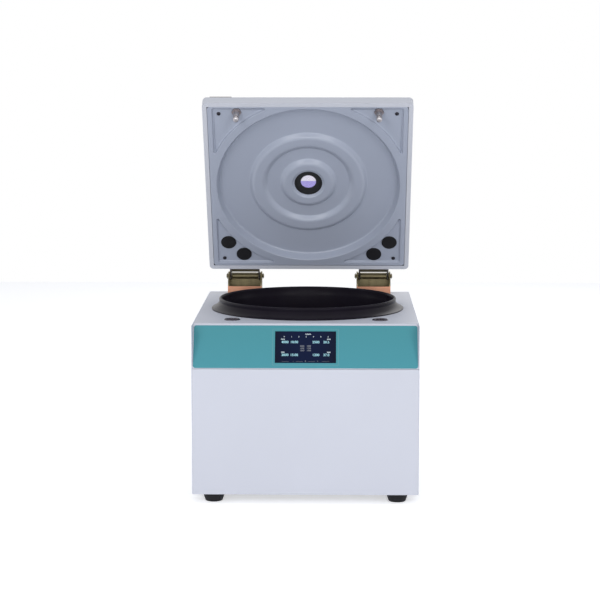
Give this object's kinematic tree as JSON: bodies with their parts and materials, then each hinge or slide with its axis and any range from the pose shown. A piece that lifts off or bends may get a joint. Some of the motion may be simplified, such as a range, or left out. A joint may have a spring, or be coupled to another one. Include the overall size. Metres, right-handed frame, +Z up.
{
  "type": "laboratory centrifuge",
  "caption": "Benchtop laboratory centrifuge: box cabinet with a leaning control panel, round steel chamber with rotor, and a hinged lid held open.",
  "frame": {"origin": "on the table under the middle of the cabinet", "axes": "+X to the machine's right as seen from the front, +Y to the back, +Z up; the operator stands at -Y"},
  "size_m": [0.43, 0.54, 0.7627],
  "materials": {
    "cabinet_paint": "light grey fine-textured powder coat",
    "lid_paint": "light grey fine-textured powder coat",
    "liner_plastic": "grey moulded inner lid",
    "teal_film": "teal satin front film",
    "screen": "dark display behind glass",
    "circuit_board": "green board with black parts",
    "stainless": "drawn stainless steel",
    "armour_steel": "primer grey steel",
    "black_rubber": "satin black rubber",
    "motor_metal": "cast aluminium",
    "plain_steel": "turned steel",
    "copper_wire": "varnished windings",
    "rotor_black": "black hard-anodised surface",
    "tube_plastic": "clear-grey tube plastic",
    "cap_plastic": "coloured cap plastic",
    "chrome_trim": "bright plated steel",
    "zinc_steel": "passivated zinc-plated steel",
    "black_plastic": "black moulded plastic",
    "window_glass": "clear window",
    "plate_metal": "bare grey-brown plate"
  },
  "bodies": {
    "cabinet": {"base_plate": "cabinet_paint", "left_side_panel": "cabinet_paint", "right_side_panel": "cabinet_paint", "front_panel": "cabinet_paint", "rear_panel": "cabinet_paint", "rear_screws": "plain_steel", "deck_plate": "cabinet_paint", "control_panel": "cabinet_paint", "panel_overlay": "teal_film", "lcd_screen": "screen", "control_board": "circuit_board", "board_pillars": "plain_steel", "feet": "black_rubber", "foot_fasteners": "plain_steel", "chamber_bowl": "stainless", "armour_ring": "armour_steel", "chamber_seal": "black_rubber", "shaft_boot": "black_rubber", "motor_mount_plate": "armour_steel", "motor_housing": "motor_metal", "motor_stator": "copper_wire", "motor_bearings": "plain_steel", "motor_fasteners": "plain_steel", "damper_posts": "plain_steel", "motor_dampers": "black_rubber", "imbalance_sensor": "black_plastic", "latch_bushes": "chrome_trim", "latch_bodies": "zinc_steel", "lock_solenoids": "black_plastic", "hinge_brackets": "zinc_steel", "bracket_screws": "plain_steel", "hinge_pins": "plain_steel", "hinge_springs": "zinc_steel", "fan_frame": "black_plastic", "fan_grille": "chrome_trim", "mains_inlet": "black_plastic", "switch_frame": "black_plastic", "power_board": "circuit_board", "motor_drive": "motor_metal"},
    "lid": {"lid_shell": "lid_paint", "lid_liner": "liner_plastic", "liner_plugs": "black_rubber", "lid_screws": "plain_steel", "striker_pins": "chrome_trim", "striker_nuts": "chrome_trim", "viewport_tube": "black_plastic", "viewport_glass": "window_glass", "viewport_ring": "black_plastic", "blank_plate": "plate_metal", "hinge_arms": "zinc_steel"},
    "rotor": {"motor_core": "plain_steel", "drive_shaft": "plain_steel", "rotor_body": "rotor_black", "rotor_nut": "rotor_black", "sample_tubes": "tube_plastic", "tube_caps": "cap_plastic"},
    "left_latch_bolt": {"left_latch_bolt": "chrome_trim"},
    "right_latch_bolt": {"right_latch_bolt": "chrome_trim"},
    "fan_wheel": {"fan_rotor": "black_plastic"},
    "power_button": {"power_rocker": "black_plastic"}
  },
  "joints": [
    {"name": "lid_hinge", "type": "hinge", "parent": "cabinet", "child": "lid", "pos_m": [0, 0.256, 0.3747], "axis": [1, 0, 0], "range_deg": [0, 59]},
    {"name": "rotor_spin", "type": "hinge", "parent": "cabinet", "child": "rotor", "pos_m": [0, 0.0023, 0.2], "axis": [0, 0, 1], "continuous": true},
    {"name": "right_latch_slide", "type": "slide", "parent": "cabinet", "child": "right_latch_bolt", "axis": [-1, 0, 0], "range_m": [0, 0.012]},
    {"name": "left_latch_slide", "type": "slide", "parent": "cabinet", "child": "left_latch_bolt", "axis": [1, 0, 0], "range_m": [0, 0.012]},
    {"name": "fan_spin", "type": "hinge", "parent": "cabinet", "child": "fan_wheel", "pos_m": [-0.11, 0.25, 0.22925], "axis": [0, 1, 0], "continuous": true},
    {"name": "power_switch", "type": "hinge", "parent": "cabinet", "child": "power_button", "pos_m": [0.11, 0.258, 0.124], "axis": [1, 0, 0], "range_deg": [0, 20]}
  ],
  "couplings": [
    {"joint": "left_latch_slide", "follows": "right_latch_slide", "ratio": 1}
  ]
}
